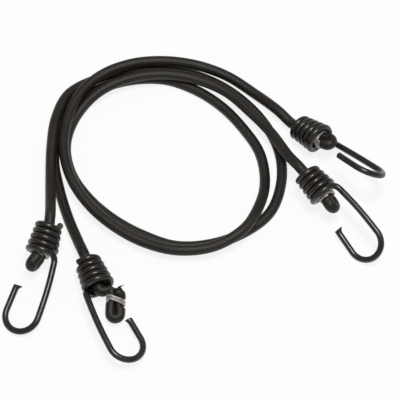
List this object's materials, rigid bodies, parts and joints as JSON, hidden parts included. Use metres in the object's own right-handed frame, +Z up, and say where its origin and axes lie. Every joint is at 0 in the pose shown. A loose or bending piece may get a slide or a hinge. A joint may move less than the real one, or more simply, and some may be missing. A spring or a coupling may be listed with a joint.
{
  "type": "bungee cord pair",
  "caption": "Pair of elastic luggage cords lying in loose loops, each end folded back, bound with a wire clamp and seated in the conical coil of a bent-wire hook.",
  "frame": {"origin": "middle of the four hooks on the plan, on the surface that the cords lie on", "axes": "+X to the right of the picture, across the hooks' longest spread; +Y away from the camera; +Z up"},
  "size_m": [0.2796, 0.2602, 0.0396],
  "materials": {
    "cord_sheath": "braided polyester, near-black",
    "cord_core": "natural rubber strands, matt",
    "hook_wire": "gloss black coated steel wire",
    "clamp_wire": "zinc-plated wire"
  },
  "bodies": {
    "cords": {"a_loops_sheath": "cord_sheath", "a_loops_core": "cord_core", "b_loops_sheath": "cord_sheath", "b_loops_core": "cord_core", "a1_lead_sheath": "cord_sheath", "a1_lead_core": "cord_core", "a2_lead_sheath": "cord_sheath", "a2_lead_core": "cord_core", "b1_lead_sheath": "cord_sheath", "b1_lead_core": "cord_core", "b2_lead_sheath": "cord_sheath", "b2_lead_core": "cord_core"},
    "a1_end": {"a1_fold_sheath": "cord_sheath", "a1_fold_core": "cord_core", "a1_clamp": "clamp_wire"},
    "a1_hook": {"a1_hook": "hook_wire"},
    "a2_end": {"a2_fold_sheath": "cord_sheath", "a2_fold_core": "cord_core", "a2_clamp": "clamp_wire"},
    "a2_hook": {"a2_hook": "hook_wire"},
    "b1_end": {"b1_fold_sheath": "cord_sheath", "b1_fold_core": "cord_core", "b1_clamp": "clamp_wire"},
    "b1_hook": {"b1_hook": "hook_wire"},
    "b2_end": {"b2_fold_sheath": "cord_sheath", "b2_fold_core": "cord_core", "b2_clamp": "clamp_wire"},
    "b2_hook": {"b2_hook": "hook_wire"}
  },
  "joints": [
    {"name": "a1_stretch", "type": "slide", "parent": "cords", "child": "a1_end", "axis": [-0.2306, -0.9731, 0], "range_m": [0, 0.06], "stiffness_N_per_m": 2000, "deforming": ["a1_lead_sheath", "a1_lead_core"]},
    {"name": "a2_stretch", "type": "slide", "parent": "cords", "child": "a2_end", "axis": [0.6326, -0.7745, 0], "range_m": [0, 0.06], "stiffness_N_per_m": 2000, "deforming": ["a2_lead_sheath", "a2_lead_core"]},
    {"name": "b1_stretch", "type": "slide", "parent": "cords", "child": "b1_end", "axis": [0.3925, -0.9198, 0], "range_m": [0, 0.06], "stiffness_N_per_m": 2000, "deforming": ["b1_lead_sheath", "b1_lead_core"]},
    {"name": "b2_stretch", "type": "slide", "parent": "cords", "child": "b2_end", "axis": [0.7242, -0.6896, 0], "range_m": [0, 0.06], "stiffness_N_per_m": 2000, "deforming": ["b2_lead_sheath", "b2_lead_core"]},
    {"name": "a1_swivel", "type": "hinge", "parent": "a1_end", "child": "a1_hook", "pos_m": [-0.11284, -0.01725, 0.01559], "axis": [0.2262, 0.9545, 0.1944], "range_deg": [0, 30]},
    {"name": "a2_swivel", "type": "hinge", "parent": "a2_end", "child": "a2_hook", "pos_m": [0.09472, 0.03094, 0.01801], "axis": [-0.6288, 0.7699, 0.1094], "range_deg": [0, 100]},
    {"name": "b1_swivel", "type": "hinge", "parent": "b1_end", "child": "b1_hook", "pos_m": [-0.07018, -0.04407, 0.01219], "axis": [-0.3922, 0.9191, 0.0382], "range_deg": [-25, 10]},
    {"name": "b2_swivel", "type": "hinge", "parent": "b2_end", "child": "b2_hook", "pos_m": [0.09374, 0.08026, 0.01533], "axis": [-0.7028, 0.6693, -0.2409], "range_deg": [-75, 0]}
  ]
}
